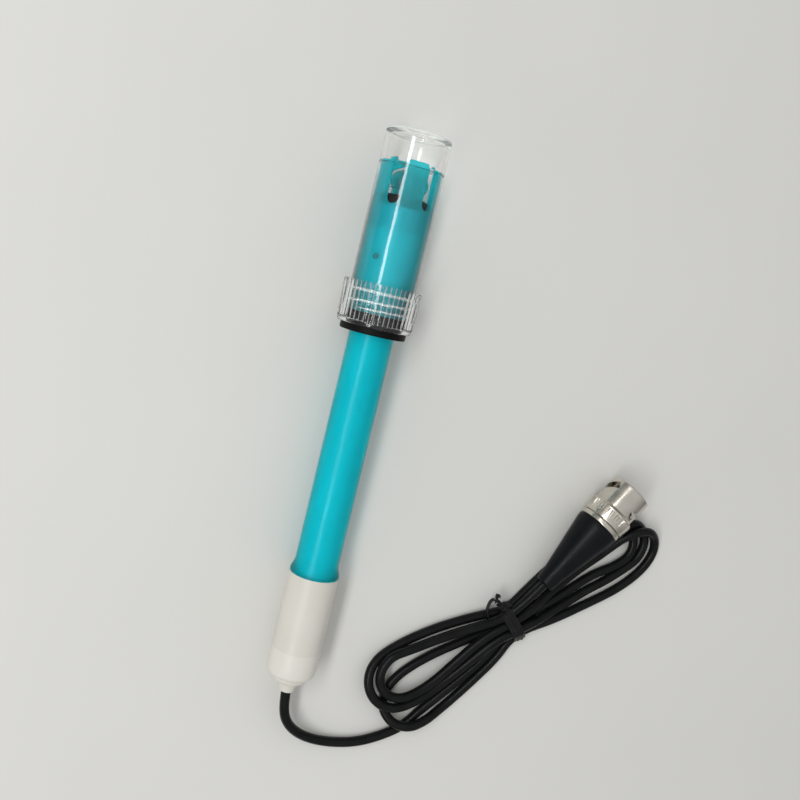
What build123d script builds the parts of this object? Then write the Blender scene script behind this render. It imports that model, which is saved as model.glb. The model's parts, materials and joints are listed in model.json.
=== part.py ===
from build123d import *
import math
import os

# A laboratory pH electrode with its storage bottle on the bulb end, lying on its
# side. Every piece is drawn on a vertical axis, where a station is a height above
# the cable end of the head. The pieces are then laid down together, bulb end to +X.

# Tube, with the slotted guard round the bulb
tube_radius = 6.0
tube_wall = 1.1
tube_reach = 113.0
tube_end_round = 0.45
collar_lip = 0.7
collar_length = 3.1
slot_width = 3.6
slot_length = 11.8
slot_pairs = 2

# Head
head_radius = 6.9
head_length = 29.6
head_taper = 0.05
head_rim_round = 0.3
end_length = 8.0
end_shoulder = 0.3
shoulder_length = 3.0
shoulder_round = 3.0
edge_round = 1.7
end_wall = 2.5
spigot_length = 4.0
spigot_gap = 1.0

# Nipple where the cable leaves the head
nipple_length = 3.2
nipple_radius = 3.0
nipple_end_radius = 2.0
washer_radius = 4.95
washer_length = 1.6
washer_round = 1.1
lock_radius = 4.0
lock_length = 1.2

# Cable
cable_radius = 1.4
cable_stub = 0.5
core_radius = 0.45
shield_radius = 0.35
shield_start = 0.9
joint_station = 12.0

# Glass stem, bulb and the silver wires
stem_radius = 3.5
glass_wall = 0.5
bulb_radius = 4.0
bulb_wall = 0.4
bulb_setback = 1.7
wire_radius = 0.3
wire_side = 4.2
measuring_setback = 7.3
measuring_coat_length = 8.0
measuring_coat_radius = 0.6
reference_clearance = 12.6
reference_coat_length = 15.0
reference_coat_radius = 0.55
reference_angle = 59.0

# Plugs and seals inside the tube
head_plug_length = 6.0
head_plug_start = 16.0
stem_plug_length = 5.6
stem_seal_length = 2.8
stem_seal_gap = 0.15
stem_seal_round = 0.6
seat_gap = 0.3
frit_radius = 0.8
frit_setback = 25.7
frit_angle = -51.0
frit_wall_length = 40.0
prong_angle = 45.0

# Storage bottle: vial, ribbed screw cap and rubber seal
vial_radius = 8.75
vial_wall = 1.1
vial_length = 47.75
vial_base = 1.4
vial_round = 3.0
tip_space = 6.1
cap_length = 11.35
cap_rear_radius = 10.1
cap_front_radius = 10.5
cap_wall = 1.15
cap_rear_wall = 1.1
cap_band = 0.9
rib_count = 48
rib_depth = 0.45
rib_round = 0.25
seal_radius = 8.9
seal_lip = 1.8
seal_neck_radius = 7.6
seal_neck = 1.2
seal_foot = 2.4
seal_round = 0.4
running_gap = 0.05
turning_gap = 0.1

# Bayonet plug: boot, body, contacts and coupling ring
boot_length = 24.0
boot_end_radius = 2.9
boot_radius = 6.7
boot_lip = 1.0
boot_round = 0.4
crimp_start = 9.0
crimp_length = 9.0
crimp_radius = 2.4
body_radius = 4.6
rear_ring_radius = 6.7
rear_ring_length = 1.6
rear_ring_round = 0.4
flange_radius = 7.25
flange_length = 4.2
flange_taper = 0.45
flange_cone = 0.8
ring_radius = 6.45
ring_length = 13.0
ring_round = 0.35
ring_lip = 1.4
ring_cavity = 3.6
ring_cavity_radius = 5.6
ring_bore = 4.95
knurl_count = 48
knurl_depth = 0.35
bayonet_width = 2.1
bayonet_depth = 7.5
bayonet_turn = 95.0
bayonet_rise = 4.2
bayonet_front = 1.9
bayonet_hole = 1.35
entry_depth = 0.75
washer_thickness = 0.6
snap_thickness = 0.8
snap_depth = 0.5
snap_width = 0.8
snap_opening = 40.0
body_front = 5.8
gasket_length = 1.0
gasket_width = 0.7
sleeve_radius = 4.1
sleeve_wall = 0.5
sleeve_length = 6.6
sleeve_slot = 0.5
sleeve_slot_length = 5.0
insulator_length = 10.5
insulator_front = 1.5
pin_radius = 0.68
pin_shank_radius = 0.95
pin_length = 19.0
pin_tip = 1.2
core_reach = 6.0
cable_reach = 14.0

# Cable tie round the folded cord
tie_width = 2.2
tie_thickness = 0.6
tie_tail_radius = 0.8
bundle_width = 11.2
bundle_height = 5.6
bundle_side = 1.5
waist_length = 8.0
tie_tail_length = 6.0

# Folded cord: its loops either side of the tie
left_reach = 47.8
right_reach = 53.4
bend_share = 0.45
lobe_width = 14.0
left_height = 5.7
right_height = 2.8
tie_gap = 2.0
overrun = 1.0

# Places on the floor
hank_point = (-52.5, -66.0)
hank_heading = -54.0
plug_point = (-37.2, -70.0, 7.3)
plug_heading = (0.838, -0.545, 0.0)
plug_roll = 20.0
lead_points = [
    (-84.0, -0.3, 6.4),
    (-89.2, -3.6, 4.9),
    (-92.8, -9.6, 2.8),
    (-94.4, -17.4, 1.5),
    (-93.8, -25.6, 1.42),
    (-91.0, -33.2, 1.42),
    (-87.2, -39.4, 1.42),
]
tail_points = [
    (-3.0, 3.6, 4.2),
    (3.0, 5.6, 4.8),
    (8.0, 8.4, 6.6),
    (12.2, 10.0, 7.3),
]
left_lobe_shares = [
    (0.27, 0.74),
    (0.52, 0.89),
    (0.73, 0.91),
    (0.92, 0.75),
    (1.0, 0.32),
    (0.99, -0.43),
    (0.90, -0.93),
    (0.71, -1.02),
    (0.46, -0.93),
    (0.21, -0.61),
]
right_lobe_shares = [
    (0.22, 0.70),
    (0.49, 0.84),
    (0.67, 0.88),
    (0.81, 0.95),
    (0.92, 0.86),
    (0.985, 0.64),
    (1.0, 0.21),
    (0.955, -0.18),
    (0.84, -0.47),
    (0.67, -0.58),
    (0.47, -0.54),
    (0.19, -0.41),
]

# Stations along the axis, worked out from the sizes above
tube_bore = tube_radius - tube_wall
tip_station = head_length + tube_reach
slot_station = tip_station - slot_length
vial_end = tip_station + tip_space + vial_base
vial_mouth = vial_end - vial_length
vial_bore = vial_radius - vial_wall
cap_start = vial_mouth - seal_foot - seal_neck
cap_end = cap_start + cap_length
seal_start = cap_start - running_gap - seal_lip
stem_plug_end = slot_station - seat_gap
stem_plug_start = stem_plug_end - stem_plug_length
reference_end = stem_plug_start - reference_clearance
tube_start = end_length + spigot_length + spigot_gap


def turned(points, rounds=()):
    """A solid turned about the axis from (radius, station) points, with some corners rounded."""
    face = make_face(Polyline(*[(radius, 0, station) for radius, station in points], close=True))
    for index, size in rounds:
        corner = Vector(points[index][0], 0, points[index][1])
        nearest = min(face.vertices(), key=lambda vertex: (Vector(*vertex) - corner).length)
        face = fillet(nearest, size)
    return revolve(face, Axis.Z)


def sleeve(outer, inner, start, end):
    """A plain tube between two stations."""
    return turned([(inner, start), (outer, start), (outer, end), (inner, end)])


def rod(radius, start, end, place=(0.0, 0.0)):
    """A plain round rod along the axis, set off it by place."""
    low = Plane(origin=(place[0], place[1], start))
    return extrude(low * Circle(radius), end - start)


def side_point(radius, angle):
    """A point round the axis: angle 0 is the top of the lying electrode, growing to -Y."""
    turn = math.radians(angle)
    return (-radius * math.cos(turn), -radius * math.sin(turn))


def grooves(count, bottom, top, start, end):
    """V grooves along the axis, spaced evenly round it, cut from radius top down to bottom."""
    half = math.pi * top / count
    outline = Polyline(
        (bottom, 0), (top + half, half + top - bottom), (top + half, bottom - half - top), close=True
    )
    tool = extrude(Plane(origin=(0, 0, start)) * make_face(outline), end - start)
    return [Rot(0, 0, 360 * step / count) * tool for step in range(count)]


# Tube: collar, straight barrel, and a guard of four prongs between two crossing slots
def make_body_tube():
    collar_radius = head_radius - head_taper
    cone_end = head_length + collar_length
    barrel = turned(
        [
            (tube_bore, tube_start),
            (tube_radius, tube_start),
            (tube_radius, head_length),
            (collar_radius, head_length),
            (collar_radius, head_length + collar_lip),
            (tube_radius, cone_end),
            (tube_radius, tip_station),
            (tube_bore, tip_station),
        ],
        [(5, collar_length), (6, tube_end_round), (7, tube_end_round)],
    )
    half_slot = slot_width / 2
    slot_face = Rectangle(slot_width, slot_length + overrun - half_slot, align=(Align.CENTER, Align.MIN))
    slot_face += Circle(half_slot)
    slot_plane = Plane(origin=(0, -head_radius, slot_station + half_slot), x_dir=(1, 0, 0), z_dir=(0, -1, 0))
    slot = extrude(slot_plane * slot_face, -2 * head_radius)
    for pair in range(slot_pairs):
        barrel -= Rot(0, 0, prong_angle + pair * 180 / slot_pairs) * slot
    return barrel - frit_tool()


def frit_tool():
    x, y = side_point(tube_radius, frit_angle)
    outward = Vector(x, y, 0).normalized()
    start = outward * (tube_bore - tube_wall) + Vector(0, 0, tip_station - frit_setback)
    return extrude(Plane(origin=start, z_dir=outward) * Circle(frit_radius), 3 * tube_wall)


def make_junction_frit():
    wall = sleeve(tube_radius, tube_bore, slot_station - frit_wall_length, slot_station)
    return wall & frit_tool()


# Head: a moulded cap over the tube, and an end piece with a rounded shoulder
def make_head_cap():
    return turned(
        [
            (tube_radius, end_length),
            (head_radius, end_length),
            (head_radius - head_taper, head_length),
            (tube_radius, head_length),
        ],
        [(2, head_rim_round)],
    )


def make_head_end():
    return turned(
        [
            (nipple_radius, 0),
            (head_radius - end_shoulder, 0),
            (head_radius, shoulder_length),
            (head_radius, end_length),
            (tube_radius, end_length),
            (tube_radius, end_length + spigot_length),
            (tube_bore, end_length + spigot_length),
            (tube_bore, end_wall),
            (nipple_radius, end_wall),
        ],
        [(1, edge_round), (2, shoulder_round)],
    )


def make_cable_nipple():
    return turned(
        [
            (cable_radius, -washer_length - nipple_length),
            (nipple_end_radius, -washer_length - nipple_length),
            (nipple_radius, -washer_length),
            (washer_radius, -washer_length),
            (washer_radius, 0),
            (nipple_radius, 0),
            (nipple_radius, end_wall),
            (lock_radius, end_wall),
            (lock_radius, end_wall + lock_length),
            (cable_radius, end_wall + lock_length),
        ],
        [(3, washer_round)],
    )


nipple_end = -washer_length - nipple_length
cable_inner_end = end_wall + lock_length + cable_stub


def make_shield_lead():
    """The screen's wire, bent outward from the cable to the reference wire."""
    near_x, near_y = side_point(shield_start, reference_angle)
    far_x, far_y = side_point(wire_side, reference_angle)
    third = (joint_station - cable_inner_end) / 3
    points = [
        (near_x, near_y, cable_inner_end),
        (near_x, near_y, cable_inner_end + third / 2),
        (far_x, far_y, joint_station - third / 2),
        (far_x, far_y, joint_station),
    ]
    path = FilletPolyline(*points, radius=2 * shield_radius)
    return sweep(Plane(origin=path @ 0, z_dir=path % 0) * Circle(shield_radius), path)


# Inside the tube: head plug, glass stem with its bulb, wires with their dark coatings, end plug and seal
def make_head_plug():
    disc = rod(tube_bore, head_plug_start, head_plug_start + head_plug_length)
    disc -= rod(wire_radius, head_plug_start - overrun, head_plug_start + head_plug_length + overrun)
    reference_place = side_point(wire_side, reference_angle)
    disc -= rod(
        wire_radius, head_plug_start - overrun, head_plug_start + head_plug_length + overrun, reference_place
    )
    return disc


bulb_station = tip_station - bulb_setback - bulb_radius
stem_start = head_plug_start + head_plug_length


def make_glass_stem():
    outside = rod(stem_radius, stem_start, bulb_station) + Pos(0, 0, bulb_station) * Sphere(bulb_radius)
    bore = rod(stem_radius - glass_wall, stem_start - overrun, bulb_station)
    hollow = bore + Pos(0, 0, bulb_station) * Sphere(bulb_radius - bulb_wall)
    return outside - hollow


measuring_end = tip_station - measuring_setback


def make_stem_seal_ring():
    start = stem_plug_end
    outer = tube_bore - stem_seal_gap
    return turned(
        [
            (stem_radius, start),
            (outer, start),
            (outer, start + stem_seal_length),
            (stem_radius, start + stem_seal_length),
        ],
        [(2, stem_seal_round)],
    )


# Storage bottle
def make_vial():
    return turned(
        [
            (vial_bore, vial_mouth),
            (vial_radius, vial_mouth),
            (vial_radius, vial_end),
            (0, vial_end),
            (0, vial_end - vial_base),
            (vial_bore, vial_end - vial_base),
        ],
        [(2, vial_round), (5, vial_round - vial_wall)],
    )


def make_ribbed_cap():
    """Screw cap: thin rear wall with a hole for the seal's neck, and a skirt with ribs for the fingers."""
    skirt_bore = cap_rear_radius - cap_wall + rib_depth
    hole = seal_neck_radius + turning_gap
    shell = turned(
        [
            (hole, cap_start),
            (cap_rear_radius, cap_start),
            (cap_front_radius, cap_end),
            (skirt_bore, cap_end),
            (skirt_bore, cap_start + cap_rear_wall),
            (hole, cap_start + cap_rear_wall),
        ],
        [(1, rib_round), (2, rib_round)],
    )
    return shell - grooves(
        rib_count, cap_rear_radius - rib_depth / 2, cap_front_radius, cap_start + cap_band, cap_end + overrun
    )


def make_seal_ring():
    bore = tube_radius + running_gap
    neck_end = seal_start + seal_lip + seal_neck
    return turned(
        [
            (bore, seal_start),
            (seal_radius, seal_start),
            (seal_radius, seal_start + seal_lip),
            (seal_neck_radius, seal_start + seal_lip),
            (seal_neck_radius, neck_end),
            (vial_radius, neck_end),
            (vial_radius, neck_end + seal_foot - running_gap),
            (bore, neck_end + seal_foot - running_gap),
        ],
        [(1, seal_round)],
    )


# Plug, drawn from the narrow end of its boot
barrel_start = crimp_start + crimp_length
ring_start = boot_length + rear_ring_length + running_gap
ring_end = ring_start + ring_length
flange_end = ring_start + flange_length
body_end = ring_start + body_front
snap_start = ring_start + ring_lip + washer_thickness + 2 * running_gap
insulator_end = body_end + insulator_front
pin_start = cable_reach + core_reach


def make_plug_boot():
    return turned(
        [
            (cable_radius, 0),
            (boot_end_radius, 0),
            (boot_radius, boot_length - boot_lip),
            (boot_radius, boot_length),
            (body_radius, boot_length),
            (body_radius, barrel_start),
            (crimp_radius, barrel_start),
            (crimp_radius, crimp_start),
            (cable_radius, crimp_start),
        ],
        [(3, boot_round)],
    )


def make_plug_body():
    """Turned body with a rear ring, a groove for the snap ring, and a springy slotted contact sleeve."""
    inner_sleeve = sleeve_radius - sleeve_wall
    body = turned(
        [
            (cable_radius, crimp_start),
            (crimp_radius, crimp_start),
            (crimp_radius, barrel_start),
            (body_radius, barrel_start),
            (body_radius, boot_length),
            (rear_ring_radius, boot_length),
            (rear_ring_radius, boot_length + rear_ring_length),
            (body_radius, boot_length + rear_ring_length),
            (body_radius, snap_start),
            (body_radius - snap_depth, snap_start),
            (body_radius - snap_depth, snap_start + snap_thickness),
            (body_radius, snap_start + snap_thickness),
            (body_radius, body_end),
            (sleeve_radius, body_end),
            (sleeve_radius, body_end + sleeve_length),
            (inner_sleeve, body_end + sleeve_length),
            (inner_sleeve, insulator_end - insulator_length),
            (cable_radius, insulator_end - insulator_length),
        ],
        [(5, rear_ring_round), (6, rear_ring_round)],
    )
    slot_start = body_end + sleeve_length - sleeve_slot_length
    slot = Pos(0, 0, slot_start) * Box(
        2 * body_radius,
        sleeve_slot,
        sleeve_slot_length + overrun,
        align=(Align.CENTER, Align.CENTER, Align.MIN),
    )
    return body - slot - Rot(0, 0, 90) * slot


def make_plug_insulator():
    return sleeve(
        sleeve_radius - sleeve_wall, pin_shank_radius, insulator_end - insulator_length, insulator_end
    )


def make_plug_pin():
    pin_end = pin_start + pin_length
    return turned(
        [
            (0, pin_start),
            (pin_shank_radius, pin_start),
            (pin_shank_radius, insulator_end),
            (pin_radius, insulator_end),
            (pin_radius, pin_end - pin_tip),
            (pin_radius / 3, pin_end),
            (0, pin_end),
        ]
    )


def make_snap_ring():
    snap_bore = body_radius - snap_depth
    ring = sleeve(snap_bore + snap_width, snap_bore, snap_start, snap_start + snap_thickness)
    reach = 2 * body_radius
    half_gap = reach * math.tan(math.radians(snap_opening / 2))
    gap_face = make_face(Polyline((0, 0), (reach, half_gap), (reach, -half_gap), close=True))
    return ring - extrude(Plane(origin=(0, 0, snap_start - overrun)) * gap_face, snap_thickness + 2 * overrun)


def make_coupling_ring():
    """Bayonet ring: knurled flange, and a collar with two helical slots, their holes and entry grooves."""
    cavity_start = ring_start + ring_lip
    cavity_end = cavity_start + ring_cavity
    lip_bore = body_radius + running_gap
    ring = turned(
        [
            (lip_bore, ring_start),
            (flange_radius - flange_taper, ring_start),
            (flange_radius, flange_end),
            (ring_radius, flange_end + flange_cone),
            (ring_radius, ring_end),
            (ring_bore, ring_end),
            (ring_bore, cavity_end),
            (ring_cavity_radius, cavity_end),
            (ring_cavity_radius, cavity_start),
            (lip_bore, cavity_start),
        ],
        [(1, ring_round), (2, ring_round), (4, ring_round)],
    )
    knurl_start = ring_start + ring_round
    knurl_end = flange_end - ring_round
    ring -= grooves(knurl_count, flange_radius - knurl_depth, flange_radius, knurl_start, knurl_end)
    slot_end = ring_end - bayonet_front
    slot_start = slot_end - bayonet_rise
    middle = (ring_radius + ring_bore) / 2
    pitch = bayonet_rise * 360 / bayonet_turn
    path = Pos(0, 0, slot_start) * Helix(pitch=pitch, height=bayonet_rise, radius=middle)
    section_plane = Plane(origin=path @ 0, x_dir=(1, 0, 0), z_dir=path % 0)
    section = section_plane * Rectangle(bayonet_depth, bayonet_width)
    slot = sweep(section, path, is_frenet=True)
    hole = extrude(Plane(origin=(0, 0, slot_start), z_dir=(1, 0, 0)) * Circle(bayonet_hole), 2 * ring_radius)
    front_x = middle * math.cos(math.radians(bayonet_turn))
    front_y = middle * math.sin(math.radians(bayonet_turn))
    entry_turn = Rot(0, 0, bayonet_turn)
    entry = entry_turn * (
        Pos(0, 0, slot_end - bayonet_width / 2)
        * Box(
            ring_bore + entry_depth,
            bayonet_width,
            bayonet_front + bayonet_width,
            align=(Align.MIN, Align.CENTER, Align.MIN),
        )
    )
    for half in range(2):
        turn = Rot(0, 0, 180 * half)
        ring = ring - turn * slot - turn * hole - turn * entry
    return ring


# Folded cord and its tie, drawn in the hank's own frame: x along the hank, y across it
def make_cord_hank():
    """The outer shape of the folded cord: a lobe of loops each side of a narrow waist."""
    low = bundle_side - bundle_width / 2
    high = bundle_side + bundle_width / 2
    left = [(-left_reach * along, lobe_width * across) for along, across in left_lobe_shares]
    right = [(right_reach * along, lobe_width * across) for along, across in right_lobe_shares]
    left_edge = Spline((-tie_gap, high), *left, (-tie_gap, low))
    right_edge = Spline((tie_gap, high), *right, (tie_gap, low))
    left_face = make_face([left_edge, Line((-tie_gap, low), (-tie_gap, high))])
    right_face = make_face([right_edge, Line((tie_gap, low), (tie_gap, high))])
    waist = Pos(0, bundle_side, tie_thickness) * Box(
        waist_length, bundle_width, bundle_height, align=(Align.CENTER, Align.CENTER, Align.MIN)
    )
    return extrude(left_face, left_height) + extrude(right_face, right_height) + waist


def make_cable_tie():
    """Twist tie: a band round the waist, with its twisted ends standing out at both sides."""
    centre_height = tie_thickness + bundle_height / 2
    outer = Pos(0, bundle_side, centre_height) * Box(
        tie_width, bundle_width + 2 * tie_thickness, bundle_height + 2 * tie_thickness
    )
    inner = Pos(0, bundle_side, centre_height) * Box(tie_width + overrun, bundle_width, bundle_height)
    band = fillet(outer.edges().filter_by(Axis.X), tie_thickness) - inner
    high = Vector(0, bundle_side + bundle_width / 2 + tie_thickness / 2, centre_height)
    low = Vector(0, bundle_side - bundle_width / 2 - tie_thickness / 2, centre_height)
    high_tail = tie_tail_length * Vector(-0.8, 0.56, 0)
    low_tail = Vector(tie_width / 2, -tie_width, -tie_width / 4)
    band += extrude(Plane(origin=high, z_dir=high_tail) * Circle(tie_tail_radius), high_tail.length)
    band += extrude(Plane(origin=low, z_dir=low_tail) * Circle(tie_tail_radius), low_tail.length)
    return band - inner


def cord_tube(points, name):
    """A plain tube of the cable along straight runs joined by arcs as large as the runs allow."""
    corners = [Vector(*point) for point in points]
    runs = [after - before for before, after in zip(corners, corners[1:])]
    radii = []
    for before, after in zip(runs, runs[1:]):
        half_turn = math.radians(before.get_angle(after)) / 2
        radii.append(bend_share * min(before.length, after.length) / math.tan(half_turn))
    path = FilletPolyline(*corners, radius=radii)
    tube = sweep(Plane(origin=path @ 0, z_dir=path % 0) * Circle(cable_radius), path)
    print(name, "radii", [round(radius, 1) for radius in radii], "length", round(path.length, 1))
    print(name, "volume share", round(tube.volume / (math.pi * cable_radius**2 * path.length), 4))
    return tube


# The electrode and its bottle, upright on the axis
reference_place = side_point(wire_side, reference_angle)
electrode = {
    "body_tube": make_body_tube(),
    "junction_frit": make_junction_frit(),
    "head_cap": make_head_cap(),
    "head_end": make_head_end(),
    "cable_nipple": make_cable_nipple(),
    "core_lead": rod(core_radius, cable_inner_end, joint_station),
    "shield_lead": make_shield_lead(),
    "head_plug": make_head_plug(),
    "glass_stem": make_glass_stem(),
    "measuring_wire": rod(wire_radius, joint_station, measuring_end),
    "measuring_coating": sleeve(
        measuring_coat_radius, wire_radius, measuring_end - measuring_coat_length, measuring_end
    ),
    "reference_wire": rod(wire_radius, joint_station, reference_end, reference_place),
    "reference_coating": Pos(*reference_place)
    * sleeve(reference_coat_radius, wire_radius, reference_end - reference_coat_length, reference_end),
    "stem_plug": sleeve(tube_bore, stem_radius, stem_plug_start, stem_plug_end),
    "stem_seal_ring": make_stem_seal_ring(),
    "seal_ring": make_seal_ring(),
    "ribbed_cap": make_ribbed_cap(),
    "vial": make_vial(),
}
cord_root = rod(cable_radius, nipple_end, cable_inner_end)

# Laid down, it rests on the head's shoulder and on the front edge of the ribbed cap
lie_angle = math.degrees(math.atan2(cap_front_radius - head_radius, cap_end - shoulder_length))
lay = Rot(0, 90 - lie_angle, 0)
laid = Compound(children=[lay * piece for piece in electrode.values()]).bounding_box()
centre = laid.center()
place = Pos(-centre.X, -centre.Y, -laid.min.Z) * lay
parts = {name: place * piece for name, piece in electrode.items()}
parts["cord_root"] = place * cord_root

# The cord on the floor: lead from the head, the hank in its tie, and the tail into the plug's boot
exit_point = (place * Pos(0, 0, nipple_end)).position
hank_frame = Pos(hank_point[0], hank_point[1], 0) * Rot(0, 0, hank_heading)
parts["cord_lead"] = cord_tube([tuple(exit_point)] + lead_points, "cord_lead")
parts["cord_hank"] = hank_frame * make_cord_hank()
parts["cord_tail"] = hank_frame * cord_tube(tail_points, "cord_tail")
parts["cable_tie"] = hank_frame * make_cable_tie()

# The plug lies across the folded cord
plug_frame = Plane(origin=plug_point, x_dir=(0, 0, 1), z_dir=plug_heading).location * Rot(0, 0, plug_roll)
plug = {
    "plug_boot": make_plug_boot(),
    "cord_end": rod(cable_radius, 0, cable_reach),
    "plug_core": rod(core_radius, cable_reach, pin_start),
    "plug_body": make_plug_body(),
    "plug_insulator": make_plug_insulator(),
    "plug_pin": make_plug_pin(),
    "plug_gasket": sleeve(sleeve_radius + gasket_width, sleeve_radius, body_end, body_end + gasket_length),
    "wave_washer": sleeve(
        ring_cavity_radius - running_gap,
        body_radius + running_gap,
        ring_start + ring_lip + running_gap,
        ring_start + ring_lip + running_gap + washer_thickness,
    ),
    "snap_ring": make_snap_ring(),
    "coupling_ring": make_coupling_ring(),
}
for name, piece in plug.items():
    parts[name] = plug_frame * piece

os.makedirs("parts", exist_ok=True)
for name, piece in parts.items():
    export_step(piece, f"parts/{name}.step")
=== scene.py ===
import bmesh
import bpy
import json
import math
from mathutils import Matrix, Vector


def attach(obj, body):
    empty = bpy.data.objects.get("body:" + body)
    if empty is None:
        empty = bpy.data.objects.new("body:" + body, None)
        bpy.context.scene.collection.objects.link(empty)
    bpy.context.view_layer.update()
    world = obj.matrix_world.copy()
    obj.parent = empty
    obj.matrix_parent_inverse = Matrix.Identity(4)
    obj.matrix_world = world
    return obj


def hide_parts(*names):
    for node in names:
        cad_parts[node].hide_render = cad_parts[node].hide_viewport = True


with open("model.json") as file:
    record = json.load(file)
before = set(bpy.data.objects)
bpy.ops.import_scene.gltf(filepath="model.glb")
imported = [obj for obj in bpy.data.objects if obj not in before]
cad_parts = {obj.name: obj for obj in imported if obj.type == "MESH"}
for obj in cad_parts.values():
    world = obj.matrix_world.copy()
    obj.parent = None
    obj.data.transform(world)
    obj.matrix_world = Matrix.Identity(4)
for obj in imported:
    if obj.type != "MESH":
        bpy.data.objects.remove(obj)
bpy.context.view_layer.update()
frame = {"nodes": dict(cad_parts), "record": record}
nodes = frame["nodes"]
record = frame["record"]

# The view. A camera held a hand's width above the electrode, over its far side,
# looks down at it with the bulb end at the top of the picture.
camera_place = (0.03011, 0.06808, 0.24781)
camera_turn_degrees = (-9.169, -16.954, -76.198)
focal_length = 41.85
sensor_width = 36.0
camera_data = bpy.data.cameras.new("camera")
camera_data.lens = focal_length
camera_data.sensor_width = sensor_width
camera_data.clip_start = 0.005
camera_data.clip_end = 20.0
camera = bpy.data.objects.new("camera", camera_data)
camera.location = camera_place
camera.rotation_euler = [math.radians(angle) for angle in camera_turn_degrees]
bpy.context.scene.collection.objects.link(camera)
bpy.context.scene.camera = camera
bpy.context.scene.view_settings.view_transform = "Standard"

# The bench and the light. A pale laminate top under one long ceiling lamp that runs
# beside the electrode, with even light from a white room all round. Reflections see the
# room's walls dimmer than its ceiling, and clear pieces let a little more of it through.
bench_half_width = 3.0
bench_colour = (0.672, 0.668, 0.638)
bench_shade = 0.975
room_strength = 0.60
room_seen_strength = 0.68
room_wall_strength = 0.25
room_wall_top = 0.25
room_ceiling_start = 0.95
lamp_size = (0.9, 0.12)
lamp_height = 0.75
lamp_side_angle = 33.0
lamp_power = 3.3
cloud_low = 0.3
cloud_high = 0.7


def finish_shader(name, roughness, level=0.5):
    """A new material with its node tree and its one shader."""
    made = bpy.data.materials.new(name)
    made.use_nodes = True
    shader = made.node_tree.nodes["Principled BSDF"]
    shader.inputs["Roughness"].default_value = roughness
    shader.inputs["Specular IOR Level"].default_value = level
    return made, made.node_tree, shader


def mottle(tree, scale, detail, low, high):
    """Soft clouds of value between low and high, at a scale per metre."""
    where = tree.nodes.new("ShaderNodeTexCoord")
    cloud = tree.nodes.new("ShaderNodeTexNoise")
    cloud.inputs["Scale"].default_value = scale
    cloud.inputs["Detail"].default_value = detail
    steps = tree.nodes.new("ShaderNodeMapRange")
    steps.inputs["From Min"].default_value = cloud_low
    steps.inputs["From Max"].default_value = cloud_high
    steps.inputs["To Min"].default_value = low
    steps.inputs["To Max"].default_value = high
    tree.links.new(where.outputs["Object"], cloud.inputs["Vector"])
    tree.links.new(cloud.outputs["Fac"], steps.inputs["Value"])
    return steps.outputs["Result"]


def grain(tree, shader, scale, detail, height):
    """Fine raised grain in the surface."""
    bump = tree.nodes.new("ShaderNodeBump")
    bump.inputs["Distance"].default_value = height
    tree.links.new(mottle(tree, scale, detail, 0.0, 1.0), bump.inputs["Height"])
    tree.links.new(bump.outputs["Normal"], shader.inputs["Normal"])


def handled(tree, shader, scale, low, high):
    """Roughness that drifts between a polished and a dull value, as on handled things."""
    tree.links.new(mottle(tree, scale, 4.0, low, high), shader.inputs["Roughness"])


def tint(tree, shader, colour_a, colour_b, scale, detail):
    """A base colour that drifts between two close shades."""
    mix = tree.nodes.new("ShaderNodeMix")
    mix.data_type = "RGBA"
    mix.inputs["A"].default_value = (*colour_a, 1.0)
    mix.inputs["B"].default_value = (*colour_b, 1.0)
    tree.links.new(mottle(tree, scale, detail, 0.0, 1.0), mix.inputs["Factor"])
    tree.links.new(mix.outputs["Result"], shader.inputs["Base Color"])


bench_finish, tree, shader = finish_shader("bench_finish", 0.6, 0.2)
tint(tree, shader, bench_colour, [bench_shade * part for part in bench_colour], 14.0, 3.0)
bench_corners = [
    (-bench_half_width, -bench_half_width, 0.0),
    (bench_half_width, -bench_half_width, 0.0),
    (bench_half_width, bench_half_width, 0.0),
    (-bench_half_width, bench_half_width, 0.0),
]
bench_mesh = bpy.data.meshes.new("bench")
bench_mesh.from_pydata(bench_corners, [], [(0, 1, 2, 3)])
bench_mesh.materials.append(bench_finish)
bench = bpy.data.objects.new("bench", bench_mesh)
bpy.context.scene.collection.objects.link(bench)

lamp_data = bpy.data.lights.new("ceiling_lamp", "AREA")
lamp_data.shape = "RECTANGLE"
lamp_data.size, lamp_data.size_y = lamp_size
lamp_data.energy = lamp_power
lamp = bpy.data.objects.new("ceiling_lamp", lamp_data)
lamp_side = math.radians(lamp_side_angle)
lamp.location = (0.0, lamp_height * math.sin(lamp_side), lamp_height * math.cos(lamp_side))
lamp.rotation_euler = (-lamp_side, 0.0, 0.0)
bpy.context.scene.collection.objects.link(lamp)
room = bpy.data.worlds.new("room")
room.use_nodes = True
room_nodes = room.node_tree.nodes
room_light = room_nodes["Background"]
room_light.inputs["Color"].default_value = (1.0, 1.0, 1.0, 1.0)
room_ray = room_nodes.new("ShaderNodeLightPath")
room_step = room_nodes.new("ShaderNodeMapRange")
room_step.inputs["To Min"].default_value = room_strength
room_step.inputs["To Max"].default_value = room_seen_strength
room_way = room_nodes.new("ShaderNodeTexCoord")
room_part = room_nodes.new("ShaderNodeSeparateXYZ")
room_wall = room_nodes.new("ShaderNodeMapRange")
room_wall.inputs["From Min"].default_value = room_wall_top
room_wall.inputs["From Max"].default_value = room_ceiling_start
room_wall.inputs["To Min"].default_value = room_wall_strength
room_wall.inputs["To Max"].default_value = room_strength
room_pick = room_nodes.new("ShaderNodeMix")
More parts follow.
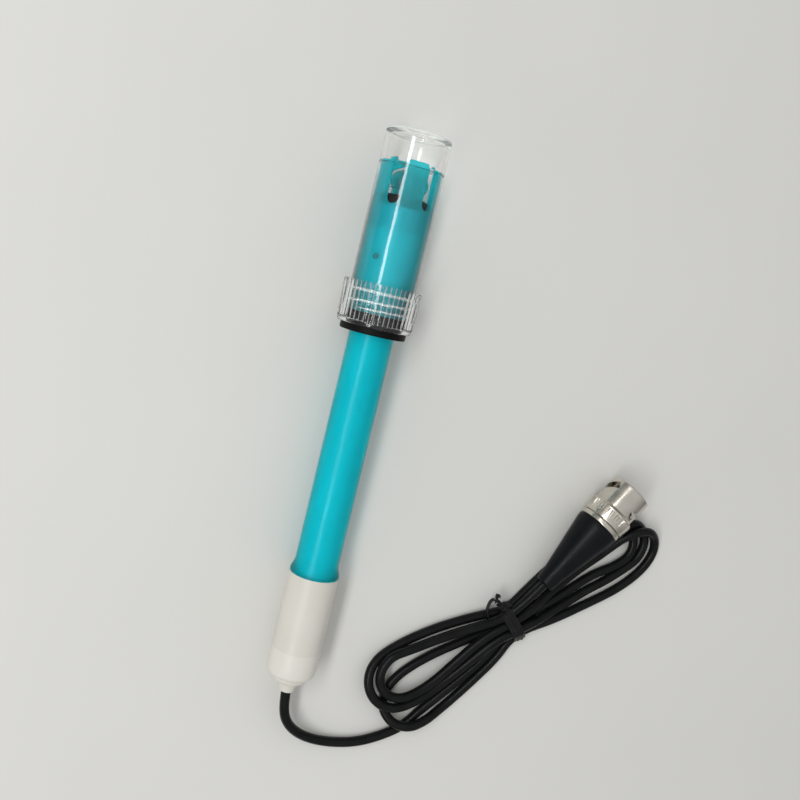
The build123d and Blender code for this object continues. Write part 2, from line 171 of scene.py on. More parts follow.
for source, target in (
    (room_way.outputs["Generated"], room_part.inputs["Vector"]),
    (room_part.outputs["Z"], room_wall.inputs["Value"]),
    (room_ray.outputs["Is Transmission Ray"], room_step.inputs["Value"]),
    (room_ray.outputs["Is Glossy Ray"], room_pick.inputs["Factor"]),
    (room_step.outputs["Result"], room_pick.inputs["A"]),
    (room_wall.outputs["Result"], room_pick.inputs["B"]),
    (room_pick.outputs["Result"], room_light.inputs["Strength"]),
):
    room.node_tree.links.new(source, target)
bpy.context.scene.world = room

# The cord. A thin coaxial cable in soft black vinyl, limp enough to fold by hand.
# It leaves the head, is folded in three loops of uneven size, and ends in the plug's boot.
cable_diameter = 0.0028
lead_route = [
    (-0.07747, 0.0, 0.00663),
    (-0.0836, -0.0004, 0.00630),
    (-0.0890, -0.0036, 0.00490),
    (-0.0928, -0.0096, 0.00280),
    (-0.0944, -0.0174, 0.00150),
    (-0.0938, -0.0256, 0.00142),
    (-0.0910, -0.0332, 0.00142),
    (-0.0872, -0.0394, 0.00142),
]
hank_centre = (-0.0525, -0.0660, 0.0)
hank_heading_degrees = -54.0
hank_route = [
    (-0.0362, -0.0107, 0.00142),
    (-0.0296, -0.0095, 0.00143),
    (-0.0211, -0.0079, 0.00142),
    (-0.0120, -0.0056, 0.00160),
    (-0.0045, -0.0019, 0.00188),
    (0.0005, -0.0001, 0.00188),
    (0.0070, 0.0004, 0.00146),
    (0.0150, 0.0006, 0.00142),
    (0.0230, 0.0014, 0.00142),
    (0.0300, 0.0019, 0.00144),
    (0.0376, 0.0010, 0.00180),
    (0.0433, 0.0017, 0.00200),
    (0.0466, 0.0054, 0.00151),
    (0.0468, 0.0100, 0.00142),
    (0.0443, 0.0134, 0.00142),
    (0.0402, 0.0146, 0.00142),
    (0.0360, 0.0129, 0.00143),
    (0.0309, 0.0119, 0.00145),
    (0.0260, 0.0116, 0.00142),
    (0.0210, 0.0112, 0.00142),
    (0.0160, 0.0104, 0.00142),
    (0.0070, 0.0076, 0.00161),
    (-0.0000, 0.0055, 0.00198),
    (-0.0070, 0.0075, 0.00170),
    (-0.0140, 0.0093, 0.00150),
    (-0.0233, 0.0111, 0.00142),
    (-0.0337, 0.0119, 0.00142),
    (-0.0416, 0.0114, 0.00207),
    (-0.0460, 0.0086, 0.00360),
    (-0.0476, 0.0034, 0.00430),
    (-0.0459, -0.0019, 0.00430),
    (-0.0412, -0.0054, 0.00417),
    (-0.0330, -0.0064, 0.00280),
    (-0.0230, -0.0049, 0.00260),
    (-0.0131, -0.0020, 0.00390),
    (-0.0065, -0.0005, 0.00458),
    (-0.0001, -0.0007, 0.00489),
    (0.0070, -0.0019, 0.00340),
    (0.0140, -0.0024, 0.00180),
    (0.0256, -0.0018, 0.00142),
    (0.0328, -0.0021, 0.00142),
    (0.0397, -0.0016, 0.00148),
    (0.0454, -0.0009, 0.00142),
    (0.0496, 0.0026, 0.00142),
    (0.0504, 0.0076, 0.00184),
    (0.0481, 0.0117, 0.00371),
    (0.0434, 0.0131, 0.00513),
    (0.0382, 0.0108, 0.00545),
    (0.0340, 0.0092, 0.00258),
    (0.0279, 0.0089, 0.00151),
    (0.0210, 0.0082, 0.00144),
    (0.0160, 0.0074, 0.00152),
    (0.0071, 0.0047, 0.00166),
    (-0.0000, 0.0027, 0.00198),
    (-0.0083, 0.0019, 0.00160),
    (-0.0167, 0.0030, 0.00142),
    (-0.0252, 0.0038, 0.00142),
    (-0.0324, 0.0038, 0.00142),
    (-0.0386, 0.0029, 0.00142),
    (-0.0433, 0.0005, 0.00142),
    (-0.0459, -0.0039, 0.00142),
    (-0.0453, -0.0089, 0.00311),
    (-0.0413, -0.0122, 0.00455),
    (-0.0360, -0.0130, 0.00411),
    (-0.0310, -0.0133, 0.00200),
    (-0.0260, -0.0126, 0.00142),
    (-0.0175, -0.0103, 0.00142),
    (-0.0085, -0.0074, 0.00160),
    (-0.0030, -0.0040, 0.00190),
    (0.0030, -0.0032, 0.00190),
    (0.0127, -0.0053, 0.00147),
    (0.0250, -0.0061, 0.00142),
    (0.0340, -0.0066, 0.00142),
    (0.0410, -0.0060, 0.00142),
    (0.0470, -0.0044, 0.00142),
    (0.0514, -0.0013, 0.00163),
    (0.0528, 0.0034, 0.00285),
    (0.0509, 0.0076, 0.00505),
    (0.0464, 0.0098, 0.00581),
    (0.0417, 0.0095, 0.00439),
    (0.0376, 0.0077, 0.00243),
    (0.0329, 0.0064, 0.00142),
    (0.0260, 0.0058, 0.00157),
    (0.0160, 0.0043, 0.00220),
    (0.0070, 0.0030, 0.00440),
    (0.0000, 0.0021, 0.00475),
    (-0.0055, 0.0025, 0.00470),
    (-0.0126, 0.0016, 0.00430),
    (-0.0212, -0.0009, 0.00390),
    (-0.0292, -0.0030, 0.00390),
    (-0.0349, -0.0034, 0.00411),
    (-0.0398, -0.0027, 0.00429),
    (-0.0432, 0.0004, 0.00441),
    (-0.0440, 0.0048, 0.00438),
    (-0.0420, 0.0088, 0.00453),
    (-0.0374, 0.0112, 0.00452),
    (-0.0310, 0.0098, 0.00407),
    (-0.0220, 0.0086, 0.00400),
    (-0.0140, 0.0071, 0.00420),
    (-0.0065, 0.0056, 0.00470),
    (-0.0005, 0.0050, 0.00480),
    (0.0034, 0.0062, 0.00520),
    (0.0078, 0.0083, 0.00660),
]
mounts = {mount["name"]: mount for mount in record["mounts"]}
contact_station = 0.035375
cable_reach_in_boot = 0.004
plug_heading = Vector(mounts["plug_contact"]["axis"])
plug_place = Vector(mounts["plug_contact"]["pos_m"]) - contact_station * plug_heading
hank_turn = Matrix.Rotation(math.radians(hank_heading_degrees), 4, "Z")
hank_frame = Matrix.Translation(hank_centre) @ hank_turn
cord_route = [Vector(point) for point in lead_route]
cord_route += [hank_frame @ Vector(point) for point in hank_route]
cord_route += [plug_place, plug_place + cable_reach_in_boot * plug_heading]
cord_curve = bpy.data.curves.new("cord", "CURVE")
cord_curve.dimensions = "3D"
cord_curve.resolution_u = 8
cord_curve.bevel_depth = cable_diameter / 2
cord_curve.bevel_resolution = 6
cord_curve.use_fill_caps = True
spline = cord_curve.splines.new("NURBS")
spline.points.add(len(cord_route) - 1)
for control, point in zip(spline.points, cord_route):
    control.co = (*point, 1.0)
spline.order_u = 3
spline.use_endpoint_u = True
cord = bpy.data.objects.new("cord", cord_curve)
bpy.context.scene.collection.objects.link(cord)
vinyl, tree, shader = finish_shader("black_vinyl", 0.27, 0.14)
tint(tree, shader, (0.0045, 0.0050, 0.0050), (0.0075, 0.0080, 0.0080), 300.0, 2.0)
grain(tree, shader, 2500.0, 3.0, 0.00002)
cord_curve.materials.append(vinyl)
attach(cord, "electrode")
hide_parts("cord_lead", "cord_hank", "cord_tail")

# The twist tie. A flat strip of black plastic with a steel wire down its middle, wound
# twice round the folded cord and twisted together by hand, with its long end bent back.
strip_section = [
    (-1.20, -0.10),
    (1.20, -0.10),
    (1.27, 0.05),
    (1.15, 0.20),
    (0.48, 0.22),
    (0.34, 0.42),
    (0.0, 0.52),
    (-0.34, 0.42),
    (-0.48, 0.22),
    (-1.15, 0.20),
    (-1.27, 0.05),
]
wrap_outline = [
    (6.75, 4.70),
    (5.90, 6.10),
    (4.60, 6.42),
    (-0.60, 6.52),
    (-1.95, 5.85),
    (-4.45, 3.15),
    (-4.90, 1.90),
    (-4.45, 0.80),
    (-3.30, 0.42),
    (1.00, 0.42),
    (5.60, 0.50),
    (6.80, 1.00),
    (7.10, 2.20),
]
wrap_middle = Vector((1.0, 3.3))
wrap_count = 2
wrap_samples = 72
wrap_growth = 0.20
wrap_start = -1.3
wrap_rise = 1.25
wrap_slant = -0.10
strip_rest = 0.54
neck_start = Vector((-1.2, 6.7, 5.0))
neck_end = Vector((-2.6, 11.3, 5.6))
neck_turns = 1.6
neck_samples = 40
neck_offset = 0.38
neck_squeeze = 0.62
long_end_route = [
    neck_end,
    (-3.0, 12.3, 5.2),
    (-4.5, 11.9, 4.9),
    (-6.2, 10.0, 4.8),
    (-6.7, 7.9, 4.3),
]
long_end_samples = 36
short_end_route = [neck_end, (-2.1, 12.3, 5.5), (-1.3, 12.4, 4.6), (-1.1, 11.6, 3.9)]
short_end_samples = 20
wrap_look_ahead = 0.25
end_look_ahead = 0.2
crease_degrees = 35.0


def between(points, share, closed):
    """A smooth line through points, at a share of its whole from 0 to 1."""
    count = len(points)
    spans = count if closed else count - 1
    place = min(max(share, 0.0), 1.0) * spans
    first = min(int(place), spans - 1)
    part = place - first

    def pick(index):
        return Vector(points[index % count] if closed else points[min(max(index, 0), count - 1)])

    before, start, end, after = (pick(first + step) for step in (-1, 0, 1, 2))
    bend = 2 * start + part * (end - before)
    bend += part ** 2 * (2 * before - 5 * start + 4 * end - after)
    bend += part ** 3 * (3 * start - before - 3 * end + after)
    return bend / 2


def swept(mesh, rings):
    """Adds a strip whose section stands at each ring of centre, across, outward and squeeze."""
    made = []
    for centre, across, outward, squeeze in rings:
        made.append(
            [mesh.verts.new(centre + squeeze * u * across + t * outward) for u, t in strip_section]
        )
    count = len(strip_section)
    for low, high in zip(made, made[1:]):
        for index in range(count):
            after = (index + 1) % count
            mesh.faces.new((low[index], low[after], high[after], high[index]))
    mesh.faces.new(made[0])
    mesh.faces.new(made[-1])


def finished(name, mesh, place, *finishes):
    """An object from a mesh in millimetres, stood at its place, smooth and with its finishes."""
    bmesh.ops.recalc_face_normals(mesh, faces=mesh.faces)
    if mesh.calc_volume(signed=True) < 0:
        bmesh.ops.reverse_faces(mesh, faces=mesh.faces)
    data = bpy.data.meshes.new(name)
    mesh.to_mesh(data)
    mesh.free()
    data.transform(place @ Matrix.Scale(0.001, 4))
    data.shade_smooth()
    data.set_sharp_from_angle(angle=math.radians(crease_degrees))
    for finish in finishes:
        data.materials.append(finish)
    made = bpy.data.objects.new(name, data)
    bpy.context.scene.collection.objects.link(made)
    return made


tie_mesh = bmesh.new()
wrap_rings = []
for step in range(wrap_count * wrap_samples + 1):
    turns = step / wrap_samples
    here = between(wrap_outline, turns % 1.0, True)
    ahead = between(wrap_outline, (turns + wrap_look_ahead / wrap_samples) % 1.0, True)
    run = (ahead - here).normalized()
    outward = Vector((0.0, run.y, -run.x))
    if outward.yz.dot(here - wrap_middle) < 0:
        outward = -outward
    middle = Vector((wrap_start + wrap_rise * turns + wrap_slant * here.x, here.x, here.y))
    centre = middle + wrap_growth * turns * outward
    centre.z = max(centre.z, strip_rest)
    wrap_rings.append((centre, Vector((1.0, 0.0, 0.0)), outward, 1.0))
swept(tie_mesh, wrap_rings)
neck_run = (neck_end - neck_start).normalized()
neck_side = neck_run.cross(Vector((0.0, 0.0, 1.0))).normalized()
neck_top = neck_side.cross(neck_run)
for strand in (0.0, math.pi):
    rings = []
    for step in range(neck_samples + 1):
        share = step / neck_samples
        turn = strand + 2 * math.pi * neck_turns * share
        outward = math.cos(turn) * neck_top + math.sin(turn) * neck_side
        middle = neck_start.lerp(neck_end, share) + neck_offset * outward
        rings.append((middle, neck_run.cross(outward), outward, neck_squeeze))
    swept(tie_mesh, rings)
for route, samples in ((long_end_route, long_end_samples), (short_end_route, short_end_samples)):
    rings = []
    for step in range(samples + 1):
        here = between(route, step / samples, False)
        behind = between(route, (step - end_look_ahead) / samples, False)
        ahead = between(route, (step + end_look_ahead) / samples, False)
        run = (ahead - behind).normalized()
        across = (Vector((0.0, 0.0, 1.0)) - run.z * run).normalized()
        rings.append((here, across, across.cross(run), neck_squeeze))
    swept(tie_mesh, rings)
tie_plastic, tree, shader = finish_shader("tie_plastic", 0.5, 0.16)
tint(tree, shader, (0.008, 0.008, 0.009), (0.014, 0.014, 0.015), 500.0, 2.0)
grain(tree, shader, 1800.0, 3.0, 0.00003)
handled(tree, shader, 400.0, 0.38, 0.58)
twist_tie = finished("twist_tie", tie_mesh, hank_frame, tie_plastic)
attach(twist_tie, "electrode")
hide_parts("cable_tie")

# The tube. Clear teal plastic, injection moulded in one piece with the guard round its bulb,
# faintly frosted by the mould, with a small porous junction let into its wall.
def let_light_in(tree, shader, colour, share):
    """Lets lamps shine through a clear finish, as they do through the real plastic."""
    ray = tree.nodes.new("ShaderNodeLightPath")
    part = tree.nodes.new("ShaderNodeMath")
    part.operation = "MULTIPLY"
    part.inputs[1].default_value = share
    bare = tree.nodes.new("ShaderNodeBsdfTransparent")
    bare.inputs["Color"].default_value = (*colour, 1.0)
    mix = tree.nodes.new("ShaderNodeMixShader")
    surface = next(node for node in tree.nodes if node.type == "OUTPUT_MATERIAL")
    tree.links.new(ray.outputs["Is Shadow Ray"], part.inputs[0])
    tree.links.new(part.outputs["Value"], mix.inputs["Fac"])
    tree.links.new(shader.outputs["BSDF"], mix.inputs[1])
    tree.links.new(bare.outputs["BSDF"], mix.inputs[2])
    tree.links.new(mix.outputs["Shader"], surface.inputs["Surface"])


def see_through(shader, bending, share):
    """Makes a share of a finish clear, with its index of refraction."""
    shader.inputs["IOR"].default_value = bending
    shader.inputs["Transmission Weight"].default_value = share


teal, tree, shader = finish_shader("teal_plastic", 0.3, 0.1)
tint(tree, shader, (0.0, 0.72, 0.80), (0.0, 0.68, 0.76), 40.0, 2.0)
grain(tree, shader, 900.0, 2.0, 0.00001)
handled(tree, shader, 120.0, 0.285, 0.33)
see_through(shader, 1.24, 0.82)
let_light_in(tree, shader, (0.78, 0.90, 0.92), 0.8)
shader.inputs["Subsurface Weight"].default_value = 1.0
shader.inputs["Subsurface Radius"].default_value = (0.15, 1.0, 1.0)
shader.inputs["Subsurface Scale"].default_value = 0.003
ceramic, tree, shader = finish_shader("junction_ceramic", 0.8, 0.2)
tint(tree, shader, (0.0, 0.14, 0.17), (0.02, 0.20, 0.23), 2500.0, 2.0)
grain(tree, shader, 4000.0, 2.0, 0.00004)


def paint(finish, *names):
    """Puts one finish on solids that the frame brought in."""
    for name in names:
        solid = nodes[name].data
        solid.materials.clear()
        solid.materials.append(finish)


paint(teal, "body_tube")
paint(ceramic, "junction_frit")

# The reference electrolyte. A cloudy gel, teal like the tube, that fills the space
# between the tube and the glass stem, with the wires standing in it.
gel_inner = 3.55
gel_outer = 4.86
gel_start = 22.1
gel_end = 124.8
gel_corner = 0.4
fine_sides = 96
tube_axis = Vector(mounts["tube_grip"]["axis"])
grip_station = 0.065
tube_zero = Vector(mounts["tube_grip"]["pos_m"]) - grip_station * tube_axis


def facing(place, heading, up):
    """The frame of a turned piece: z along heading, x as near up as it goes."""
    across = heading.cross(up).normalized()
    top = across.cross(heading).normalized()
    turn = Matrix((top, heading.cross(top), heading)).transposed()
    return Matrix.Translation(place) @ turn.to_4x4()


def rounded(corners, closed=True, steps=6):
    """Outline points from corners of radius, station and round."""
    points = []
    count = len(corners)
    for index, (radius, station, size) in enumerate(corners):
        corner = Vector((radius, station))
        if size == 0 or (not closed and index in (0, count - 1)):
            points.append(corner)
            continue
        back = (Vector(corners[index - 1][:2]) - corner).normalized()
        ahead = (Vector(corners[(index + 1) % count][:2]) - corner).normalized()
        half = back.angle(ahead) / 2
        centre = corner + size / math.sin(half) * (back + ahead).normalized()
        reach = size / math.tan(half)
        first = (corner + reach * back - centre).normalized()
        last = (corner + reach * ahead - centre).normalized()
        points += [centre + size * first.slerp(last, step / steps) for step in range(steps + 1)]
    return points


def turned(outline, sides, swell=None):
    """A mesh turned about z from outline points, closed on itself or on the axis."""
    mesh = bmesh.new()
    rings = []
    for radius, station in outline:
        if radius == 0:
            rings.append([mesh.verts.new((0.0, 0.0, station))])
            continue
        ring = []
        for side in range(sides):
            turn = 2 * math.pi * side / sides
            reach = radius + (swell(radius, station, turn) if swell else 0.0)
            ring.append(mesh.verts.new((reach * math.cos(turn), reach * math.sin(turn), station)))
        rings.append(ring)
    if len(rings[0]) > 1 and len(rings[-1]) > 1:
        rings.append(rings[0])
    for low, high in zip(rings, rings[1:]):
        for side in range(sides):
            after = (side + 1) % sides
            if len(low) == 1:
                mesh.faces.new((low[0], high[after], high[side]))
            elif len(high) == 1:
                mesh.faces.new((low[side], low[after], high[0]))
            else:
                mesh.faces.new((low[side], low[after], high[after], high[side]))
    return mesh


tube_frame = facing(tube_zero, tube_axis, Vector((0.0, 0.0, 1.0)))
gel, tree, shader = finish_shader("electrolyte_gel", 0.5, 0.3)
tint(tree, shader, (0.10, 0.93, 0.95), (0.08, 0.89, 0.91), 90.0, 3.0)
shader.inputs["Alpha"].default_value = 0.5
gel_outline = rounded(
    [
        (gel_inner, gel_start, 0),
        (gel_outer, gel_start, gel_corner),
        (gel_outer, gel_end, gel_corner),
        (gel_inner, gel_end, 0),
    ]
)
electrolyte = finished("electrolyte_gel", turned(gel_outline, fine_sides), tube_frame, gel)
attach(electrolyte, "electrode")

# The glass stem and what stands in and beside it. The stem is drawn clear glass with the
# bulb blown on its end, and each silver wire is dipped in dark silver chloride at its tip.
stem_glass, tree, shader = finish_shader("stem_glass", 0.02)
tint(tree, shader, (0.94, 0.98, 0.97), (0.91, 0.96, 0.95), 60.0, 2.0)
see_through(shader, 1.5, 1.0)
let_light_in(tree, shader, (0.97, 0.98, 0.98), 0.95)
silver, tree, shader = finish_shader("silver_wire", 0.25)
tint(tree, shader, (0.75, 0.74, 0.71), (0.62, 0.60, 0.56), 700.0, 3.0)
shader.inputs["Metallic"].default_value = 1.0
chloride, tree, shader = finish_shader("silver_chloride", 0.85, 0.2)
tint(tree, shader, (0.028, 0.020, 0.024), (0.050, 0.038, 0.040), 1500.0, 3.0)
grain(tree, shader, 3000.0, 3.0, 0.00005)
stopper, tree, shader = finish_shader("teal_stopper", 0.4)
tint(tree, shader, (0.01, 0.40, 0.46), (0.01, 0.34, 0.40), 200.0, 2.0)
paint(stem_glass, "glass_stem")
paint(silver, "measuring_wire", "reference_wire")
paint(chloride, "measuring_coating", "reference_coating")
paint(stopper, "stem_plug")

# The head. A satin white cap over the tube's end, closed by a domed plug with the cable's
# nipple in its middle, moulded in warm white plastic and welded. The end is painted a shade
# paler than the cap, painted light and shade that stands in for the step at their seam.
head_whites = []
for name, pale, deep in (
    ("white_plastic", (0.635, 0.620, 0.560), (0.605, 0.590, 0.528)),
    ("white_end_painted_seam_contrast", (0.675, 0.660, 0.600), (0.650, 0.635, 0.575)),
):
    finish, tree, shader = finish_shader(name, 0.38, 0.45)
    tint(tree, shader, pale, deep, 60.0, 3.0)
    grain(tree, shader, 2600.0, 3.0, 0.000012)
    handled(tree, shader, 150.0, 0.32, 0.46)
    head_whites.append(finish)
white, seam_contrast_white = head_whites
copper, tree, shader = finish_shader("bare_copper", 0.35)
tint(tree, shader, (0.72, 0.36, 0.22), (0.60, 0.28, 0.17), 900.0, 3.0)
shader.inputs["Metallic"].default_value = 1.0
paint(white, "head_cap", "cable_nipple", "head_plug")
# Painted light and shade: the end's paler white stands in for the light and shade at the step of
# its seam with the cap.
paint(seam_contrast_white, "head_end")
paint(vinyl, "cord_root", "cord_end")
paint(copper, "core_lead", "shield_lead", "plug_core")

# The seals. Soft black rubber, moulded, with a dull bloom on it. The large one is the
# ring that the ribbed cap squeezes onto the tube.
rubber, tree, shader = finish_shader("black_rubber", 0.5, 0.1)
tint(tree, shader, (0.003, 0.003, 0.0035), (0.006, 0.006, 0.0065), 250.0, 3.0)
grain(tree, shader, 2200.0, 3.0, 0.00003)
paint(rubber, "seal_ring", "stem_seal_ring", "plug_gasket")

# The vial. Clear plastic blown with a flat closed end, a bead below the cap and a single
# raised thread at its mouth. Its inside is wet from the mouth up to the liquid's level. The
# crests of the thread and the bead and the end's rim get a whiter, less clear finish: a
# painted highlight for the bright lines that light makes on them.
vial_outer = 8.75
vial_inner = 7.65
vial_mouth = 102.35
vial_floor = 148.7
vial_end = 150.1
thread_end = 109.4
thread_step = 0.16
thread_first = 103.3
thread_last = 106.6
thread_pitch = 2.0
thread_height = 0.40
thread_width = 0.30
thread_run_out = 0.5
thread_run_in = 0.2
bead_station = 107.9
bead_height = 0.48
bead_width = 0.32
wet_station = 141.4
end_station = 147.9
rim_station = 149.2
rim_radius = 7.4
highlight_crest_height = 0.12
dish_radius = 6.2
dish_depth = 0.25
dish_edge = 4.0
vial_corner = 1.1
mouth_corner = 0.3
mouth_lead = 0.4
mouth_wall = 0.5
floor_corner = 0.7
floor_rise = 0.2
wall_slack = 0.01
wet_face, thin_face, highlight_face = 1, 2, 3


def fade(value, low, high):
    """From 0 at low to 1 at high, smoothly."""
    share = min(max((value - low) / (high - low), 0.0), 1.0)
    return share * share * (3 - 2 * share)


def thread_swell(radius, station, turn):
    """How far the vial's thread and bead stand out of its outer wall."""
    if radius < vial_outer - wall_slack or station > thread_end:
        return 0.0
    phase = (station - thread_first) / thread_pitch - turn / (2 * math.pi)
    off_ridge = (phase - round(phase)) * thread_pitch
    ridge = thread_height * math.exp(-(off_ridge / thread_width) ** 2)
    ridge *= fade(station, thread_first - thread_run_out, thread_first + thread_run_in)
    ridge *= fade(station, thread_last + thread_run_out, thread_last - thread_run_in)
    bead = bead_height * math.exp(-((station - bead_station) / bead_width) ** 2)
    return max(ridge, bead)


clear, tree, shader = finish_shader("clear_plastic", 0.03)
tint(tree, shader, (0.985, 0.985, 0.98), (0.965, 0.97, 0.965), 70.0, 2.0)
grain(tree, shader, 130.0, 1.0, 0.00003)
see_through(shader, 1.5, 1.0)
let_light_in(tree, shader, (1.0, 1.0, 1.0), 0.97)
wet, tree, shader = finish_shader("wetted_plastic", 0.0)
tint(tree, shader, (0.995, 1.0, 1.0), (0.985, 0.995, 0.995), 70.0, 2.0)
see_through(shader, 1.111, 1.0)
let_light_in(tree, shader, (1.0, 1.0, 1.0), 0.99)
thin, tree, shader = finish_shader("thin_plastic", 0.04)
tint(tree, shader, (0.985, 0.985, 0.98), (0.965, 0.97, 0.965), 70.0, 2.0)
see_through(shader, 1.06, 1.0)
let_light_in(tree, shader, (1.0, 1.0, 1.0), 0.97)
# Painted highlight: a whiter, less clear finish for the thread and bead crests and the end's rim,
# in place of the bright lines light makes there.
painted_highlight, tree, shader = finish_shader("painted_highlight_rim", 0.25)
tint(tree, shader, (0.90, 0.92, 0.91), (0.86, 0.88, 0.87), 90.0, 2.0)
see_through(shader, 1.4, 0.55)
thread_rings = int((thread_end - vial_mouth - mouth_lead) / thread_step)
vial_outline = rounded(
    [
        (0.0, vial_end - dish_depth, 0),
        (dish_radius, vial_end, dish_edge),
        (vial_outer, vial_end, vial_corner),
        (vial_outer, end_station, 0),
        (vial_outer, thread_end, 0),
    ],
    closed=False,
)
for ring in range(thread_rings):
    vial_outline.append(Vector((vial_outer, thread_end - thread_step * (ring + 1))))
vial_outline += rounded(
    [
        (vial_outer, vial_mouth + mouth_wall, 0),
        (vial_outer, vial_mouth, mouth_corner),
        (vial_inner, vial_mouth, mouth_corner),
        (vial_inner, wet_station, 0),
        (vial_inner, end_station, 0),
        (vial_inner, vial_floor, floor_corner),
        (0.0, vial_floor - floor_rise, 0),
    ],
    closed=False,
)
vial_mesh = turned(vial_outline, fine_sides, thread_swell)
# Sorts the vial's faces: the closed end is thin, the inside is wet up to the level, and the end's
# rim and the crests of the thread and bead get the painted highlight.
for face in vial_mesh.faces:
    middle = face.calc_center_median()
    reach = middle.xy.length
    if middle.z > end_station:
        on_rim = reach > rim_radius and middle.z > rim_station
        face.material_index = highlight_face if on_rim else thin_face
    elif vial_mouth + mouth_lead < middle.z < wet_station and reach < vial_inner + wall_slack:
        face.material_index = wet_face
    elif reach > vial_outer + highlight_crest_height:
        face.material_index = highlight_face
vial = finished("clear_vial", vial_mesh, tube_frame, clear, wet, thin, painted_highlight)
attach(vial, "bottle")
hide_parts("vial")

# The storage liquid. A water-clear salt solution round the tube, from the vial's mouth to a
# level just under the guard's tips, with its surface drawn up a little against the wall.
liquid_outer = 7.60
liquid_inner = 6.05
liquid_start = 102.6
liquid_step = 131.2
liquid_level = 140.9
meniscus_rise = 0.3
meniscus_width = 0.6
surface_steps = 14
level_slack = 0.05
wall_face = 1
liquid, tree, shader = finish_shader("storage_liquid", 0.0)
tint(tree, shader, (0.985, 0.995, 0.995), (0.975, 0.99, 0.99), 50.0, 1.0)
see_through(shader, 1.03, 1.0)
let_light_in(tree, shader, (1.0, 1.0, 1.0), 0.99)
liquid_edge, tree, shader = finish_shader("liquid_against_wall", 0.0, 0.0)
tint(tree, shader, (1.0, 1.0, 1.0), (0.995, 1.0, 1.0), 50.0, 1.0)
see_through(shader, 1.0, 1.0)
let_light_in(tree, shader, (1.0, 1.0, 1.0), 0.99)
liquid_outline = []
for step in range(surface_steps + 1):
    radius = liquid_outer * step / surface_steps
    rise = meniscus_rise * math.exp((radius - liquid_outer) / meniscus_width)
    liquid_outline.append(Vector((radius, liquid_level + rise)))
for radius, station in (
    (liquid_outer, liquid_start),
    (liquid_inner, liquid_start),
    (liquid_inner, liquid_step),
    (0.0, liquid_step),
):
    liquid_outline.append(Vector((radius, station)))
liquid_mesh = turned(liquid_outline, fine_sides)
for face in liquid_mesh.faces:
    if face.calc_center_median().z < liquid_level - level_slack:
        face.material_index = wall_face
storage_liquid = finished("storage_liquid", liquid_mesh, tube_frame, liquid, liquid_edge)
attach(storage_liquid, "bottle")

# The ribbed cap. A ring-shaped screw cap of the same clear plastic, moulded with a fine
# row of grip ribs and a plain band at its rear edge. Its grooves get a whiter, less clear
# finish: a painted highlight for the bright stripes that light makes along the ribs.
cap_hole = 7.70
cap_bore = 9.40
cap_start = 98.75
cap_roof = 99.85
cap_end = 110.1
cap_rear = 10.10
cap_front = 10.50
cap_band = 0.9
cap_corner = 0.5
rib_count = 48
rib_samples = 12
rib_height = 0.24
rib_rings = 14
rib_start = cap_start + cap_band
rib_end = cap_end - 0.7
rib_run_out = 0.5
rib_balance = 0.75
groove_share = 0.3
groove_start = rib_start + 0.3
groove_highlight_face = 1
cap_lip = 0.15
lip_slack = 0.01


def rib_swell(radius, station, turn):
    """How far the grip ribs stand out of the cap's wall."""
    if radius < cap_rear - cap_lip:
        return 0.0
    crest = abs(math.cos(rib_count * turn / 2)) - rib_balance
    share = fade(station, rib_start, rib_start + rib_run_out)
    return rib_height * crest * share * fade(station, cap_end - cap_lip, rib_end)


cap_clear, tree, shader = finish_shader("clear_cap_plastic", 0.06)
tint(tree, shader, (0.985, 0.99, 0.985), (0.97, 0.98, 0.975), 80.0, 2.0)
see_through(shader, 1.4, 1.0)
let_light_in(tree, shader, (0.97, 0.98, 0.98), 0.95)
# Painted highlight: a whiter, less clear finish for the grooves, in place of the bright stripes
# light makes along the ribs.
groove_highlight, tree, shader = finish_shader("rib_groove_painted_highlight", 0.3)
tint(tree, shader, (0.95, 0.96, 0.955), (0.91, 0.925, 0.92), 80.0, 2.0)
see_through(shader, 1.4, 0.78)
cap_outline = rounded(
    [(cap_hole, cap_start, 0), (cap_rear, cap_start, cap_corner), (cap_rear, rib_start, 0)],
    closed=False,
)
for ring in range(1, rib_rings):
    share = ring / rib_rings
    eased = 0.5 - 0.5 * math.cos(math.pi * share)
    station = rib_start + (cap_end - rib_start - cap_lip) * eased
    cap_outline.append(Vector((cap_rear + (cap_front - cap_rear) * share, station)))
cap_outline += rounded(
    [
        (cap_front, cap_end - cap_lip - lip_slack, 0),
        (cap_front, cap_end, cap_lip),
        (cap_bore, cap_end, cap_lip),
        (cap_bore, cap_roof, cap_corner),
        (cap_hole, cap_roof, 0),
    ],
    closed=False,
)
cap_mesh = turned(cap_outline, rib_count * rib_samples, rib_swell)
# Picks the groove faces that get the painted highlight.
for face in cap_mesh.faces:
    middle = face.calc_center_median()
    in_groove = abs(math.cos(rib_count * math.atan2(middle.y, middle.x) / 2)) < groove_share
    if in_groove and middle.xy.length > cap_rear - rib_height and middle.z > groove_start:
        face.material_index = groove_highlight_face
ribbed_cap = finished("ribbed_cap_clear", cap_mesh, tube_frame, cap_clear, groove_highlight)
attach(ribbed_cap, "bottle_cap")
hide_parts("ribbed_cap")

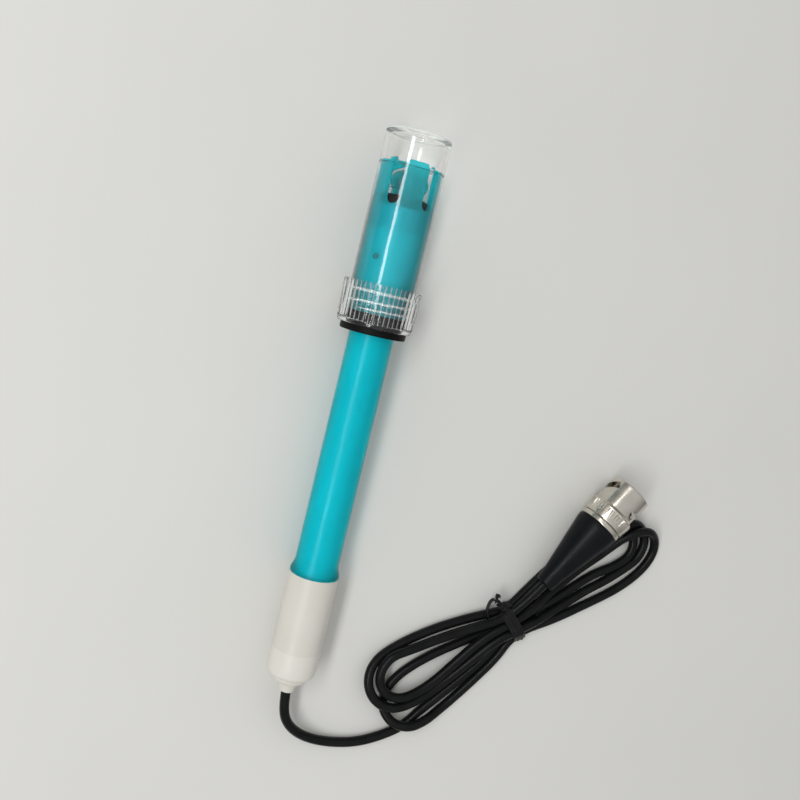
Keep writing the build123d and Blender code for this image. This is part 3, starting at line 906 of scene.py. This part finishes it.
# The boot. Firm black rubber that widens from the cable to the plug, pushed over the
# plug's body and the crimp, with softly rounded ends.
boot, tree, shader = finish_shader("boot_rubber", 0.3, 0.12)
tint(tree, shader, (0.0040, 0.0048, 0.0060), (0.0062, 0.0070, 0.0085), 220.0, 3.0)
grain(tree, shader, 1500.0, 2.0, 0.000012)
handled(tree, shader, 260.0, 0.28, 0.42)
boot_outline = rounded(
    [
        (1.45, 0.0, 0.25),
        (2.90, 0.0, 0.7),
        (3.35, 4.2, 12.0),
        (6.70, 22.4, 1.2),
        (6.75, 24.0, 0.35),
        (4.65, 24.0, 0.2),
        (4.65, 18.3, 0.2),
        (2.45, 18.0, 0.2),
        (2.45, 8.8, 0.2),
        (1.45, 8.4, 0.2),
    ]
)
plug_frame = facing(plug_place, plug_heading, Vector((0.0, 0.0, 1.0)))
plug_boot = finished("plug_boot_rubber", turned(boot_outline, fine_sides), plug_frame, boot)
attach(plug_boot, "electrode")
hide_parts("plug_boot")

# The plug. Turned brass, nickel plated: the body with its rear ring, and the coupling ring
# with its knurl and two bayonet slots. Its inner parts are PTFE, gilt brass, rubber and steel.
nickel, tree, shader = finish_shader("nickel_plate", 0.2)
tint(tree, shader, (0.68, 0.645, 0.575), (0.60, 0.565, 0.495), 260.0, 3.0)
grain(tree, shader, 1400.0, 3.0, 0.000006)
handled(tree, shader, 350.0, 0.17, 0.30)
shader.inputs["Metallic"].default_value = 1.0
insulator, tree, shader = finish_shader("white_insulator", 0.45, 0.4)
tint(tree, shader, (0.78, 0.77, 0.74), (0.73, 0.72, 0.69), 300.0, 2.0)
gilt, tree, shader = finish_shader("gilt_pin", 0.22)
tint(tree, shader, (0.86, 0.64, 0.27), (0.78, 0.56, 0.22), 600.0, 2.0)
shader.inputs["Metallic"].default_value = 1.0
spring_steel, tree, shader = finish_shader("spring_steel", 0.3)
tint(tree, shader, (0.50, 0.49, 0.47), (0.42, 0.41, 0.39), 600.0, 3.0)
shader.inputs["Metallic"].default_value = 1.0
paint(nickel, "plug_body", "coupling_ring")
paint(insulator, "plug_insulator")
paint(gilt, "plug_pin")
paint(spring_steel, "wave_washer", "snap_ring")
